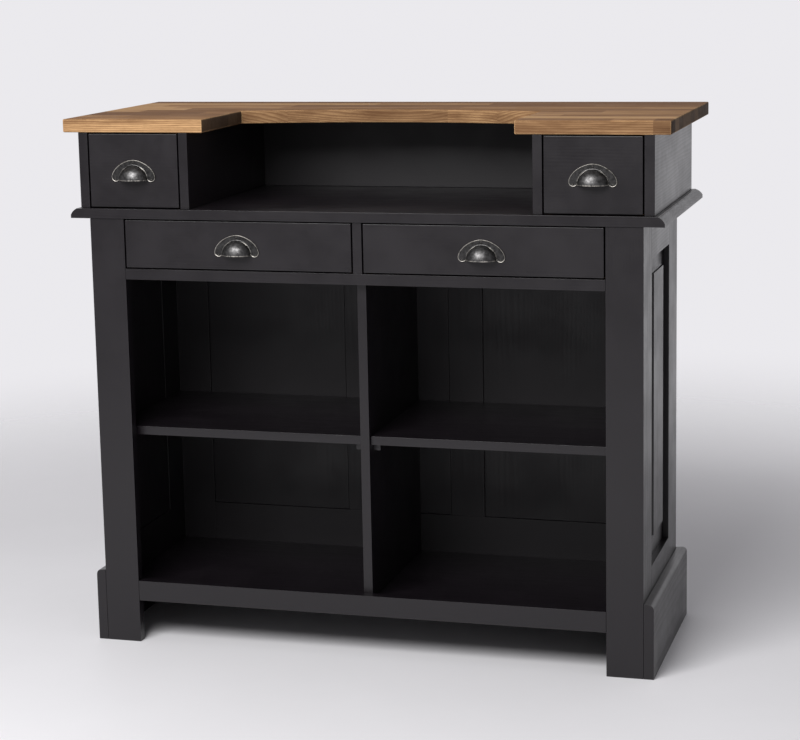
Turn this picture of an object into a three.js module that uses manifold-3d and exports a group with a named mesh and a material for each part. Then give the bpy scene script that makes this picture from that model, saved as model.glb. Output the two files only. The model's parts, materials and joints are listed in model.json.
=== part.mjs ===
// Bar counter with shelves: a painted cabinet with four drawers, open shelves and a U-shaped wooden worktop.
// Millimetres, +Z up. The drawers face -Y and the framed panels face the customer at +Y.
// Left and right are as seen from the drawer side.
// The origin is on the floor, under the middle of the object.

import * as THREE from 'three';
import { mergeVertices } from 'three/addons/utils/BufferGeometryUtils.js';
import Module from 'manifold-3d';

const wasm = await Module();
wasm.setup();

// Heights of the stack, from the floor up
const lowerHeight = 898;
const waistThickness = 20;
const upperHeight = 155;
const worktopThickness = 27;

// Lower carcass: the face plane of its front posts is y = 0 until the whole object is centred
const lowerWidth = 1142;
const lowerDepth = 418;
const frameThickness = 22;
const frontPostFace = 74;
const frontStileDepth = 97;
const rearStileDepth = 105;
const backCornerStile = 97;
const backInnerStile = 75;
const backCentreOpening = 160;
const topRailHeight = 74;
const lowRailHeight = 113;
const toeHeight = 90;

// Grooves in the frames, and the raised panels that sit in them
const grooveInset = 4;
const grooveWidth = 5.6;
const grooveDepth = 9;
const panelBackInset = 1;
const panelFieldInset = 4;
const panelStep = 3;
const panelSideMargin = 50;
const panelTopMargin = 36;
const panelLowMargin = 50;
const panelShoulderGap = 1;

// Floor, divider and shelves
const floorRailHeight = 43;
const floorDrop = 14;
const floorThickness = 19;
const dividerThickness = 19;
const dividerSetback = 24;
const shelfTop = 459;
const shelfThickness = 18;
const shelfSetback = 32;
const cleatWidth = 16;
const cleatHeight = 14;
const cleatSetback = 15;

// Plinth round the sides and the back
const plinthThickness = 20.5;
const plinthHeight = 153;
const plinthRoundWidth = 8;
const plinthRoundHeight = 11;
const plinthSlope = 1.5;

// Waist board and the moulding along its sides and back
const waistFrontProud = 3;
const waistSideOverhang = 20.5;
const waistBackOverhang = 21;
const waistStep = 1;
const waistStepIn = 12.5;
const waistBevelWidth = 11.5;
const waistBevelHeight = 12.5;
const waistBevelBulge = 1.5;

// Upper box
const upperWidth = 1183;
const upperDepth = 478;
const upperSetback = 5;
const upperSideThickness = 20;
const upperBackThickness = 19;
const partitionThickness = 19;
const nicheWidth = 709;

// Worktop, cut out in front so that two wings are left
const worktopSideOverhang = 31;
const worktopBackOverhang = 28;
const worktopFrontOverhang = 3.5;
const cutoutWidth = 641;
const wingDepth = 232;
const cutoutBow = 45;
const worktopEasing = 1.5;

// Drawers
const wideBayHeight = 103;
const deckThickness = 22;
const drawerGap = 3;
const drawerFrontThickness = 19;
const boxInset = 1;
const boxBoard = 12;
const boxBottom = 6;
const boxBottomRise = 8;
const boxGrooveDepth = 6;
const boxRunClearance = 0.6;
const wideBoxBackGap = 32;
const wideBoxHeadroom = 24.4;
const smallBoxBackGap = 15;
const smallBoxHeadroom = 36.4;
const guideHeight = 12;
const guideWidth = 16;
const guideClearance = 0.5;

// Cup pulls: an arched flange with a hollow cup that is open below
const pullWidth = 95;
const pullHeight = 44.5;
const pullFullness = 1.75;
const flangeThickness = 2.5;
const cupWidth = 62;
const cupHeight = 29.5;
const cupProjection = 25;
const cupWall = 2.5;
const cupRise = 3.5;

// Gap left between pieces that touch
const jointGap = 0.3;

// Facets on the round stretches
const mouldingSteps = 6;
const cutoutSteps = 24;
const pullArchSteps = 20;
const pullEndSteps = 6;
const cupSegments = 28;
const cupRings = 14;
const weldDistance = 1e-4;

// Places that follow from the sizes
const lowerHalf = lowerWidth / 2;
const sideInnerFace = lowerHalf - frameThickness;
const backInnerFace = lowerDepth - frameThickness;
const postInnerEdge = lowerHalf - frontPostFace;
const lowRailTop = toeHeight + lowRailHeight;
const topRailBottom = lowerHeight - topRailHeight;
const floorTop = toeHeight + floorRailHeight - floorDrop;
const deckTop = lowerHeight - wideBayHeight;
const deckBottom = deckTop - deckThickness;
const dividerHalf = dividerThickness / 2;
const shelfBottom = shelfTop - shelfThickness;
const waistTop = lowerHeight + waistThickness;
const upperTop = waistTop + upperHeight;
const upperHalf = upperWidth / 2;
const upperBack = upperSetback + upperDepth;
const upperBackInner = upperBack - upperBackThickness;
const upperInnerFace = upperHalf - upperSideThickness;
const nicheHalf = nicheWidth / 2;
const partitionOuterFace = nicheHalf + partitionThickness;
const worktopFront = upperSetback - worktopFrontOverhang;
const worktopBack = upperBack + worktopBackOverhang;
const worktopHalf = upperHalf + worktopSideOverhang;
const grooveHigh = grooveInset + grooveWidth;
const tongueLow = grooveInset + jointGap;
const tongueHigh = grooveHigh - jointGap;
const tongueLength = grooveDepth - jointGap;
const objectFront = -(jointGap + cupProjection);
const objectMiddle = (objectFront + worktopBack) / 2;

const paint = { color: 0x39383a, roughness: 0.55, metalness: 0 };
const oiledWood = { color: 0x8e6c49, roughness: 0.5, metalness: 0 };
const bareWood = { color: 0xc9a678, roughness: 0.7, metalness: 0 };
const pewter = { color: 0x55524e, roughness: 0.4, metalness: 1 };

// A closed geometry becomes a solid that can be joined and cut
function toSolid(geometry) {
  const bare = geometry.clone();
  bare.deleteAttribute('normal');
  bare.deleteAttribute('uv');
  const welded = mergeVertices(bare, weldDistance);
  const vertProperties = Float32Array.from(welded.attributes.position.array);
  const triVerts = Uint32Array.from(welded.index.array);
  return new wasm.Manifold(new wasm.Mesh({ numProp: 3, vertProperties, triVerts }));
}

function toGeometry(solid) {
  const { vertProperties, triVerts } = solid.getMesh();
  const geometry = new THREE.BufferGeometry();
  geometry.setAttribute('position', new THREE.BufferAttribute(Float32Array.from(vertProperties), 3));
  geometry.setIndex(Array.from(triVerts));
  geometry.computeVertexNormals();
  return geometry;
}

// What two geometries share: two moulded lengths that cross give a piece moulded both ways
function shared(first, second) {
  return toGeometry(toSolid(first).intersect(toSolid(second)));
}

// Extrudes an outline along an axis: (y, z) points along x, (x, z) along y, (x, y) along z
function prism(axis, outline, from, to) {
  const swap = axis === 'y';
  const points = outline.map(([a, b]) => (swap ? new THREE.Vector2(b, a) : new THREE.Vector2(a, b)));
  const options = { depth: to - from, bevelEnabled: false };
  const geometry = new THREE.ExtrudeGeometry(new THREE.Shape(points), options);
  geometry.translate(0, 0, from);
  const X = new THREE.Vector3(1, 0, 0);
  const Y = new THREE.Vector3(0, 1, 0);
  const Z = new THREE.Vector3(0, 0, 1);
  const turn = new THREE.Matrix4();
  if (axis === 'x') turn.makeBasis(Y, Z, X);
  if (axis === 'y') turn.makeBasis(Z, X, Y);
  return geometry.applyMatrix4(turn);
}

// Points along part of an ellipse, both ends included
function arc(middle, radii, start, end, steps) {
  const points = [];
  for (let step = 0; step <= steps; step += 1) {
    const angle = start + ((end - start) * step) / steps;
    points.push([middle[0] + radii[0] * Math.cos(angle), middle[1] + radii[1] * Math.sin(angle)]);
  }
  return points;
}

// Upper half of an ellipse whose shoulders are leaner when its fullness is under 2
function arch(middle, radii, fullness, steps) {
  const lean = (value) => Math.sign(value) * Math.abs(value) ** (2 / fullness);
  return arc([0, 0], [1, 1], 0, Math.PI, steps).map(([across, up]) => (
    [middle[0] + radii[0] * lean(across), middle[1] + radii[1] * lean(up)]
  ));
}

// A line that bulges to its right in the middle
function bowed(from, to, bulge, steps) {
  const across = [to[0] - from[0], to[1] - from[1]];
  const length = Math.hypot(...across);
  const points = [];
  for (let step = 0; step <= steps; step += 1) {
    const share = step / steps;
    const swell = (4 * bulge * share * (1 - share)) / length;
    points.push([
      from[0] + across[0] * share + across[1] * swell,
      from[1] + across[1] * share - across[0] * swell,
    ]);
  }
  return points;
}

function mirrored(points) {
  return points.map(([a, b]) => [-a, b]).reverse();
}

function addPiece(group, name, finish, geometry) {
  const mesh = new THREE.Mesh(geometry, new THREE.MeshStandardMaterial(finish));
  mesh.name = name;
  group.add(mesh);
  return mesh;
}

// A plain board between two opposite corners
function addBoard(group, name, finish, low, high) {
  const size = high.map((value, axis) => value - low[axis]);
  const mesh = addPiece(group, name, finish, new THREE.BoxGeometry(...size));
  mesh.position.set(...low.map((value, axis) => value + size[axis] / 2));
  return mesh;
}

function addGroup(parent, x, y, z) {
  const group = new THREE.Group();
  group.position.set(x, y, z);
  parent.add(group);
  return group;
}

// Frames are drawn flat: x along the frame, y from its inner to its outer face, z up
function railGeometry(span, low, high, panelEdge) {
  const half = span / 2 - jointGap;
  const reach = half + tongueLength;
  const edge = panelEdge === 'top' ? high : low;
  const grooveEnd = panelEdge === 'top' ? high - grooveDepth : low + grooveDepth;
  const plainEdge = panelEdge === 'top' ? low : high;
  const section = [
    [0, plainEdge], [0, edge], [grooveInset, edge], [grooveInset, grooveEnd],
    [grooveHigh, grooveEnd], [grooveHigh, edge], [frameThickness, edge], [frameThickness, plainEdge],
  ];
  const rightEnd = [
    [half, 0], [half, tongueLow], [reach, tongueLow], [reach, tongueHigh], [half, tongueHigh],
    [half, frameThickness],
  ];
  const plan = [...rightEnd, ...mirrored(rightEnd)];
  return shared(prism('x', section, -reach, reach), prism('z', plan, low, high));
}

function innerStileGeometry(low, high) {
  const half = backInnerStile / 2;
  const bottom = low + jointGap;
  const top = high - jointGap;
  const rightEdge = [
    [half, 0], [half, grooveInset], [half - grooveDepth, grooveInset], [half - grooveDepth, grooveHigh],
    [half, grooveHigh], [half, frameThickness],
  ];
  const plan = [...rightEdge, ...mirrored(rightEdge)];
  const section = [
    [0, bottom], [tongueLow, bottom], [tongueLow, bottom - tongueLength],
    [tongueHigh, bottom - tongueLength], [tongueHigh, bottom], [frameThickness, bottom],
    [frameThickness, top], [tongueHigh, top], [tongueHigh, top + tongueLength],
    [tongueLow, top + tongueLength], [tongueLow, top], [0, top],
  ];
  const length = prism('z', plan, bottom - tongueLength, top + tongueLength);
  return shared(length, prism('x', section, -half, half));
}

// Section of a raised panel across an opening: tongue, hollowed border, step, field
function panelSection(low, high, lowMargin, highMargin) {
  const field = frameThickness - panelFieldInset;
  const borderTop = field - panelStep;
  const rise = borderTop - tongueHigh;
  const border = (edge, inward, margin) =>
    arc([edge, borderTop], [inward * margin, -rise], Math.PI / 2, 0, mouldingSteps);
  return [
    [low - tongueLength, tongueLow], [low + panelShoulderGap, tongueLow],
    [low + panelShoulderGap, panelBackInset], [high - panelShoulderGap, panelBackInset],
    [high - panelShoulderGap, tongueLow], [high + tongueLength, tongueLow],
    [high + tongueLength, tongueHigh],
    ...border(high, -1, highMargin), [high - highMargin, field],
    [low + lowMargin, field], ...border(low, 1, lowMargin).reverse(),
    [low - tongueLength, tongueHigh],
  ];
}

function panelGeometry(width, low, high) {
  const half = width / 2;
  const across = panelSection(-half, half, panelSideMargin, panelSideMargin);
  const section = panelSection(low, high, panelLowMargin, panelTopMargin);
  const upright = section.map(([along, depth]) => [depth, along]);
  const length = prism('z', across, low - tongueLength, high + tongueLength);
  return shared(length, prism('x', upright, -half - tongueLength, half + tongueLength));
}

// Corner posts, L-shaped in plan: front ones have one grooved edge, rear ones have two
function addCornerPosts(group) {
  const outer = lowerHalf;
  const sideGroove = (edge, inward) => [
    [sideInnerFace, edge], [sideInnerFace + grooveInset, edge],
    [sideInnerFace + grooveInset, edge + inward * grooveDepth],
    [sideInnerFace + grooveHigh, edge + inward * grooveDepth],
    [sideInnerFace + grooveHigh, edge], [outer, edge],
  ];
  const frontPlan = [
    [postInnerEdge, 0], [postInnerEdge, frameThickness], [sideInnerFace, frameThickness],
    ...sideGroove(frontStileDepth, -1), [outer, 0],
  ];
  const backEdge = lowerHalf - backCornerStile;
  const rearPlan = [
    ...sideGroove(lowerDepth - rearStileDepth, 1), [outer, lowerDepth],
    [backEdge, lowerDepth], [backEdge, backInnerFace + grooveHigh],
    [backEdge + grooveDepth, backInnerFace + grooveHigh],
    [backEdge + grooveDepth, backInnerFace + grooveInset],
    [backEdge, backInnerFace + grooveInset], [backEdge, backInnerFace], [sideInnerFace, backInnerFace],
  ];
  const top = lowerHeight - jointGap;
  addPiece(group, 'front_post_left', paint, prism('z', mirrored(frontPlan), 0, top));
  addPiece(group, 'front_post_right', paint, prism('z', frontPlan, 0, top));
  addPiece(group, 'rear_post_left', paint, prism('z', mirrored(rearPlan), 0, top));
  addPiece(group, 'rear_post_right', paint, prism('z', rearPlan, 0, top));
}

function addSideFrame(group, hand, sign) {
  const span = lowerDepth - frontStileDepth - rearStileDepth;
  const frame = addGroup(group, sign * sideInnerFace, frontStileDepth + span / 2, 0);
  frame.rotation.z = (-sign * Math.PI) / 2;
  const top = lowerHeight - jointGap;
  addPiece(frame, `side_top_rail_${hand}`, paint, railGeometry(span, topRailBottom, top, 'low'));
  addPiece(frame, `side_low_rail_${hand}`, paint, railGeometry(span, toeHeight, lowRailTop, 'top'));
  addPiece(frame, `side_panel_${hand}`, paint, panelGeometry(span, lowRailTop, topRailBottom));
}

function addBackFrame(group) {
  const span = lowerWidth - 2 * backCornerStile;
  const stileMiddle = (backCentreOpening + backInnerStile) / 2;
  const outerOpening = span / 2 - backCentreOpening / 2 - backInnerStile;
  const outerMiddle = span / 2 - outerOpening / 2;
  const frame = addGroup(group, 0, backInnerFace, 0);
  const top = lowerHeight - jointGap;
  addPiece(frame, 'back_top_rail', paint, railGeometry(span, topRailBottom, top, 'low'));
  addPiece(frame, 'back_low_rail', paint, railGeometry(span, toeHeight, lowRailTop, 'top'));
  for (const [hand, sign] of [['left', -1], ['right', 1]]) {
    const stile = innerStileGeometry(lowRailTop, topRailBottom);
    addPiece(frame, `back_stile_${hand}`, paint, stile).position.x = sign * stileMiddle;
    const panel = panelGeometry(outerOpening, lowRailTop, topRailBottom);
    addPiece(frame, `back_panel_${hand}`, paint, panel).position.x = sign * outerMiddle;
  }
  addPiece(frame, 'back_panel_centre', paint, panelGeometry(backCentreOpening, lowRailTop, topRailBottom));
}

// Plinth boards, mitred at the rear corners
function addPlinths(group) {
  const ledge = plinthThickness - plinthRoundWidth;
  const shoulder = plinthHeight - plinthSlope;
  const moulding = (inner) => [
    [inner, 0], [inner + plinthThickness, 0],
    ...arc([inner + ledge, shoulder - plinthRoundHeight], [plinthRoundWidth, plinthRoundHeight],
      0, Math.PI / 2, mouldingSteps),
    [inner, plinthHeight],
  ];
  const sideInner = lowerHalf + jointGap;
  const backInner = lowerDepth + jointGap;
  const sideOuter = sideInner + plinthThickness;
  const backOuter = backInner + plinthThickness;
  const sidePlan = [
    [sideInner, 0], [sideOuter, 0], [sideOuter, backOuter - jointGap], [sideInner, backInner - jointGap],
  ];
  const backPlan = [
    [-sideInner, backInner], [sideInner, backInner], [sideOuter, backOuter], [-sideOuter, backOuter],
  ];
  const side = prism('y', moulding(sideInner), 0, backOuter);
  const otherSide = prism('y', mirrored(moulding(sideInner)), 0, backOuter);
  const back = prism('x', moulding(backInner), -sideOuter, sideOuter);
  addPiece(group, 'plinth_left', paint, shared(otherSide, prism('z', mirrored(sidePlan), 0, plinthHeight)));
  addPiece(group, 'plinth_right', paint, shared(side, prism('z', sidePlan, 0, plinthHeight)));
  addPiece(group, 'plinth_back', paint, shared(back, prism('z', backPlan, 0, plinthHeight)));
}

// Drawer deck: its front edge shows between the posts, and two guides stand up beside the wide drawers
function addDrawerDeck(group) {
  const tongueHalf = postInnerEdge - jointGap;
  const half = sideInnerFace - jointGap;
  const shoulder = frameThickness + jointGap;
  const back = backInnerFace - jointGap;
  const guideInner = postInnerEdge + guideClearance;
  const rightPlan = [[tongueHalf, 0], [tongueHalf, shoulder], [half, shoulder], [half, back]];
  const rightSection = [
    [half, deckBottom], [half, deckTop], [guideInner + guideWidth, deckTop],
    [guideInner + guideWidth, deckTop + guideHeight], [guideInner, deckTop + guideHeight],
    [guideInner, deckTop],
  ];
  const plan = prism('z', [...rightPlan, ...mirrored(rightPlan)], deckBottom, deckTop + guideHeight);
  const section = prism('y', [...rightSection, ...mirrored(rightSection)], 0, back);
  addPiece(group, 'drawer_deck', paint, shared(section, plan));
}

function addShelving(group) {
  const wall = sideInnerFace - jointGap;
  const back = backInnerFace - jointGap;
  const face = dividerHalf + jointGap;
  const railHalf = postInnerEdge - jointGap;
  const behindRail = frameThickness + jointGap;
  const rail = [[-railHalf, 0, toeHeight], [railHalf, frameThickness, toeHeight + floorRailHeight]];
  const floor = [[-wall, behindRail, floorTop - floorThickness], [wall, back, floorTop]];
  const dividerTop = deckBottom - jointGap;
  const divider = [[-dividerHalf, dividerSetback, floorTop + jointGap], [dividerHalf, back, dividerTop]];
  const upright = [[-dividerHalf, 0, deckTop + jointGap], [dividerHalf, back, lowerHeight - jointGap]];
  addBoard(group, 'floor_rail', paint, ...rail);
  addBoard(group, 'floor_board', paint, ...floor);
  addBoard(group, 'centre_divider', paint, ...divider);
  addBoard(group, 'drawer_partition', paint, ...upright);
  addBoard(group, 'shelf_left', paint, [-wall, shelfSetback, shelfBottom], [-face, back, shelfTop]);
  addBoard(group, 'shelf_right', paint, [face, shelfSetback, shelfBottom], [wall, back, shelfTop]);
  const cleatTop = shelfBottom - jointGap;
  const cleatLow = cleatTop - cleatHeight;
  const cleatFront = shelfSetback + cleatSetback;
  const cleatOuter = face + cleatWidth;
  addBoard(group, 'shelf_cleat_left', paint, [-cleatOuter, cleatFront, cleatLow], [-face, back, cleatTop]);
  addBoard(group, 'shelf_cleat_right', paint, [face, cleatFront, cleatLow], [cleatOuter, back, cleatTop]);
}

// Waist board: plain in front, stepped and bevelled along the sides and the back
function addWaistBoard(group) {
  const half = upperHalf + waistSideOverhang;
  const back = upperBack + waistBackOverhang;
  const bottom = lowerHeight;
  const top = waistTop;
  const edge = (outer) => [
    [outer, bottom],
    ...bowed([outer, top - waistStep - waistBevelHeight], [outer - waistBevelWidth, top - waistStep],
      waistBevelBulge, mouldingSteps),
    [outer - waistStepIn, top - waistStep], [outer - waistStepIn, top],
  ];
  const acrossOutline = [...edge(half), ...mirrored(edge(half))];
  const depthOutline = [...edge(back), [-waistFrontProud, top], [-waistFrontProud, bottom]];
  const across = prism('y', acrossOutline, -waistFrontProud, back);
  addPiece(group, 'waist_board', paint, shared(across, prism('x', depthOutline, -half, half)));
}

function addUpperBox(group) {
  const low = waistTop + jointGap;
  const high = upperTop - jointGap;
  const inner = upperInnerFace;
  const backLow = [-inner + jointGap, upperBackInner, low];
  const backHigh = [inner - jointGap, upperBack, high];
  const front = upperSetback;
  const partitionBack = upperBackInner - jointGap;
  addBoard(group, 'upper_side_left', paint, [-upperHalf, front, low], [-inner, upperBack, high]);
  addBoard(group, 'upper_side_right', paint, [inner, front, low], [upperHalf, upperBack, high]);
  addBoard(group, 'upper_back', paint, backLow, backHigh);
  addBoard(group, 'upper_partition_left', paint,
    [-partitionOuterFace, front, low], [-nicheHalf, partitionBack, high]);
  addBoard(group, 'upper_partition_right', paint,
    [nicheHalf, front, low], [partitionOuterFace, partitionBack, high]);
}

function addWorktop(group) {
  const cutHalf = cutoutWidth / 2;
  const stepBack = worktopFront + wingDepth;
  const bowRadius = (cutHalf * cutHalf + cutoutBow * cutoutBow) / (2 * cutoutBow);
  const bowAngle = Math.asin(cutHalf / bowRadius);
  const bowMiddle = [0, stepBack + cutoutBow - bowRadius];
  const bowStart = Math.PI / 2 + bowAngle;
  const bow = arc(bowMiddle, [bowRadius, bowRadius], bowStart, Math.PI - bowStart, cutoutSteps);
  const outline = [
    [-worktopHalf, worktopFront], [-cutHalf, worktopFront], ...bow, [cutHalf, worktopFront],
    [worktopHalf, worktopFront], [worktopHalf, worktopBack], [-worktopHalf, worktopBack],
  ];
  const shape = new THREE.Shape(outline.map(([x, y]) => new THREE.Vector2(x, y)));
  const geometry = new THREE.ExtrudeGeometry(shape, {
    depth: worktopThickness - 2 * worktopEasing,
    bevelThickness: worktopEasing,
    bevelSize: worktopEasing,
    bevelOffset: -worktopEasing,
    bevelSegments: 1,
  });
  addPiece(group, 'worktop', oiledWood, geometry).position.z = upperTop + worktopEasing;
}

// Cup pull: z = 0 at the flange's lower ends, y = 0 at its back
function pullGeometry() {
  const half = pullWidth / 2;
  const mouthHalf = cupWidth / 2 - cupWall;
  const endRadius = (half - mouthHalf) / 2;
  const mouthTop = cupRise + cupHeight - cupWall;
  const endMiddle = half - endRadius;
  const endRadii = [endRadius, endRadius];
  const outerRadii = [half, pullHeight - endRadius];
  const mouthRadii = [mouthHalf, mouthTop - endRadius];
  const outline = [
    ...arch([0, endRadius], outerRadii, pullFullness, pullArchSteps).slice(1),
    ...arc([-endMiddle, endRadius], endRadii, Math.PI, 2 * Math.PI, pullEndSteps).slice(1),
    ...arc([0, endRadius], mouthRadii, Math.PI, 0, pullArchSteps).slice(1),
    ...arc([endMiddle, endRadius], endRadii, Math.PI, 2 * Math.PI, pullEndSteps).slice(1),
  ];
  const flange = toSolid(prism('y', outline, -flangeThickness, 0));
  const ball = (inset) => {
    const sphere = new THREE.SphereGeometry(1, cupSegments, cupRings);
    sphere.scale(cupWidth / 2 - inset, cupProjection - inset, cupHeight - inset);
    sphere.translate(0, 0, cupRise);
    return toSolid(sphere);
  };
  const front = new THREE.BoxGeometry(pullWidth, cupProjection, pullHeight);
  front.translate(0, -cupProjection / 2, cupRise + pullHeight / 2);
  const cup = ball(0).subtract(ball(cupWall)).intersect(toSolid(front));
  return toGeometry(flange.add(cup));
}

// A drawer is drawn with its origin at the lower front corner line of its bay, in the middle of the bay
function addDrawer(group, name, bay) {
  const drawer = addGroup(group, bay.middle, bay.front, bay.bottom);
  const frontHalf = bay.width / 2 - drawerGap;
  const frontHigh = bay.height - drawerGap;
  const boxHalf = frontHalf - boxInset;
  const boxInner = boxHalf - boxBoard;
  const boxFront = drawerFrontThickness + jointGap;
  const boxBack = bay.depth - bay.boxBackGap;
  const sideHigh = bay.height - bay.boxHeadroom;
  const bottomLow = boxRunClearance + boxBottomRise;
  const bottomHigh = bottomLow + boxBottom;
  const slotLow = bottomLow - jointGap;
  const slotHigh = bottomHigh + jointGap;
  const slotHalf = boxInner + boxGrooveDepth;
  const slotFront = drawerFrontThickness - boxGrooveDepth;
  const bottomHalf = slotHalf - jointGap;

  const blank = new THREE.BoxGeometry(2 * frontHalf, drawerFrontThickness, frontHigh - drawerGap);
  blank.translate(0, drawerFrontThickness / 2, (frontHigh + drawerGap) / 2);
  const slot = new THREE.BoxGeometry(2 * slotHalf, 2 * boxGrooveDepth, slotHigh - slotLow);
  slot.translate(0, drawerFrontThickness, (slotHigh + slotLow) / 2);
  addPiece(drawer, `${name}_front`, paint, toGeometry(toSolid(blank).subtract(toSolid(slot))));

  const sideSection = [
    [boxInner, boxRunClearance], [boxHalf, boxRunClearance], [boxHalf, sideHigh], [boxInner, sideHigh],
    [boxInner, slotHigh], [slotHalf, slotHigh], [slotHalf, slotLow], [boxInner, slotLow],
  ];
  addPiece(drawer, `${name}_side_left`, bareWood, prism('y', mirrored(sideSection), boxFront, boxBack));
  addPiece(drawer, `${name}_side_right`, bareWood, prism('y', sideSection, boxFront, boxBack));

  const backHalf = boxInner - jointGap;
  const backLow = [-backHalf, boxBack - boxBoard, slotHigh];
  addBoard(drawer, `${name}_back`, bareWood, backLow, [backHalf, boxBack, sideHigh]);
  const bottomFront = [-bottomHalf, slotFront + jointGap, bottomLow];
  addBoard(drawer, `${name}_bottom`, bareWood, bottomFront, [bottomHalf, boxBack, bottomHigh]);

  const pull = addPiece(drawer, `${name}_pull`, pewter, pullGeometry());
  pull.position.set(0, -jointGap, (frontHigh + drawerGap - pullHeight) / 2);
}

function addDrawers(group) {
  const wideWidth = postInnerEdge - dividerHalf;
  const smallWidth = upperInnerFace - partitionOuterFace;
  const wide = {
    width: wideWidth, front: 0, depth: backInnerFace, bottom: deckTop, height: wideBayHeight,
    boxBackGap: wideBoxBackGap, boxHeadroom: wideBoxHeadroom,
  };
  const small = {
    width: smallWidth, front: upperSetback, depth: upperBackInner - upperSetback, bottom: waistTop,
    height: upperHeight, boxBackGap: smallBoxBackGap, boxHeadroom: smallBoxHeadroom,
  };
  for (const [hand, sign] of [['left', -1], ['right', 1]]) {
    const wideMiddle = sign * (dividerHalf + wideWidth / 2);
    const smallMiddle = sign * (partitionOuterFace + smallWidth / 2);
    addDrawer(group, `wide_drawer_${hand}`, { ...wide, middle: wideMiddle });
    addDrawer(group, `small_drawer_${hand}`, { ...small, middle: smallMiddle });
  }
}

const counter = new THREE.Group();
counter.name = 'bar_counter';
const body = addGroup(counter, 0, -objectMiddle, 0);
addCornerPosts(body);
addSideFrame(body, 'left', -1);
addSideFrame(body, 'right', 1);
addBackFrame(body);
addPlinths(body);
addShelving(body);
addDrawerDeck(body);
addWaistBoard(body);
addUpperBox(body);
addWorktop(body);
addDrawers(body);

export default counter;
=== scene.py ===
"""Looks of a bar counter with shelves: painted cabinet, oiled worktop, drawers, cup pulls and studio."""

import json
import math
import random

import bmesh
import bpy
from mathutils import Matrix, Vector


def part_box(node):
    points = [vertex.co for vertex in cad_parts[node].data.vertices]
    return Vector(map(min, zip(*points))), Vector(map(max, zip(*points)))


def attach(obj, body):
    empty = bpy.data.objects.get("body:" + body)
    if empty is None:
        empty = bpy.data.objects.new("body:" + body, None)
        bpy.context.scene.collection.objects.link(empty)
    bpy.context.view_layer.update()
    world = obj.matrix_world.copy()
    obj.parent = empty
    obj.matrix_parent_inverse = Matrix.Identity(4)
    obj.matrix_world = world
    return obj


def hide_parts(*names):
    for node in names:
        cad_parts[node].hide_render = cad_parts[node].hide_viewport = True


bl_info = {
    "name": "Bar Counter",
    "version": (1, 0, 0),
    "blender": (4, 5, 0),
    "location": "View3D > Sidebar > Bar Counter",
    "description": "Finishes a bar counter: painted boards, glued worktop, drawers, cup pulls and screws",
    "category": "Object",
}

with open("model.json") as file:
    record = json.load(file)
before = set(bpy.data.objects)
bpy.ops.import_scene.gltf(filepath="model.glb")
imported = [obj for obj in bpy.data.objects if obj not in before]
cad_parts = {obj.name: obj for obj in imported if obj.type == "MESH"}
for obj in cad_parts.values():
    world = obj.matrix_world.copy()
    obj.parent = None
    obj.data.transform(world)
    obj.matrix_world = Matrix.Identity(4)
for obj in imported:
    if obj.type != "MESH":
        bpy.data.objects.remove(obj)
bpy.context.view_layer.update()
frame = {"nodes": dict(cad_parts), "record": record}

CARCASS = "carcass"
DRAWERS = ("wide_drawer_left", "wide_drawer_right", "small_drawer_left", "small_drawer_right")
BOX_BOARDS = ("side_left", "side_right", "back", "bottom")
GRAIN_ORDER = {"x": (0, 1, 2), "y": (1, 2, 0), "z": (2, 0, 1)}
SENSOR_WIDTH = 36.0
WELD = 1e-5
CUT_TOLERANCE = 1e-7
FLAT_ANGLE = math.radians(1.0)
SHARP_ANGLE = math.radians(32.0)

# Butt joints along the worktop's front stave, and the tones of the boards between them
FRONT_JOINTS = (-0.571, 0.0, 0.507, 0.5885)
FRONT_TONES = (0.42, 0.57, 0.30, 0.58, 0.0)

# How bright the parts of a pull are made, from 0 for dark to 1 for bright: wear and painted highlight on the
# rims, beads and lip, and painted highlight alone on the cup
CUP_SHEEN = 0.22
CUP_TIP_SHEEN = 0.3
BEAD_WEAR_AND_SHEEN = 0.4
LIP_WEAR_AND_SHEEN = 0.8

# How finely round shapes are stepped
ARCH_STEPS = 48
FLANGE_END_STEPS = 14
CUP_STEPS_AROUND = 40
CUP_STEPS_OUTWARD = 14
BEAD_SIDES = 10
SCREW_STEPS = 28
PIN_STEPS = 20
FLOOR_STEPS = 96

SCREW_SEED = 3
FLOOR_SPREAD = 1.4


def colour(name, description, default):
    """A colour that a user may change."""
    return bpy.props.FloatVectorProperty(
        name=name, description=description, default=default, subtype="COLOR", size=3, min=0.0, max=1.0
    )


def length(name, description, default):
    """A length in metres that a user may change."""
    return bpy.props.FloatProperty(
        name=name, description=description, default=default, subtype="DISTANCE", unit="LENGTH", min=0.0,
        precision=5,
    )


def share(name, description, default):
    """A value from 0 to 1 that a user may change."""
    return bpy.props.FloatProperty(
        name=name, description=description, default=default, subtype="FACTOR", min=0.0, max=1.0
    )


def angle(name, description, degrees):
    """An angle that a user may change."""
    return bpy.props.FloatProperty(
        name=name, description=description, default=math.radians(degrees), subtype="ANGLE", unit="ROTATION"
    )


class PaintSettings(bpy.types.PropertyGroup):
    """Paint on the cabinet and the drawer fronts."""

    tone: colour("Paint", "Colour of the anthracite paint", (0.0068, 0.0050, 0.0068))
    # The lighter colour of the paint along its edges is a painted highlight along the arrises.
    sheen_and_rubbing: colour("Painted Edge Highlight", "Paint that hands have polished along the edges", (0.024, 0.022, 0.024))
    roughness: share("Roughness", "Roughness of the satin paint", 0.33)
    inside_roughness: share("Inside Roughness", "Roughness of the paint at the back of the openings", 0.5)
    arris: length("Arris", "Rounding of the painted edges", 0.0011)
    relief: length("Grain Relief", "Depth of the wood grain under the paint", 0.00035)
    ring_width: length("Ring Width", "Distance between growth rings under the paint", 0.0055)


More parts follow.
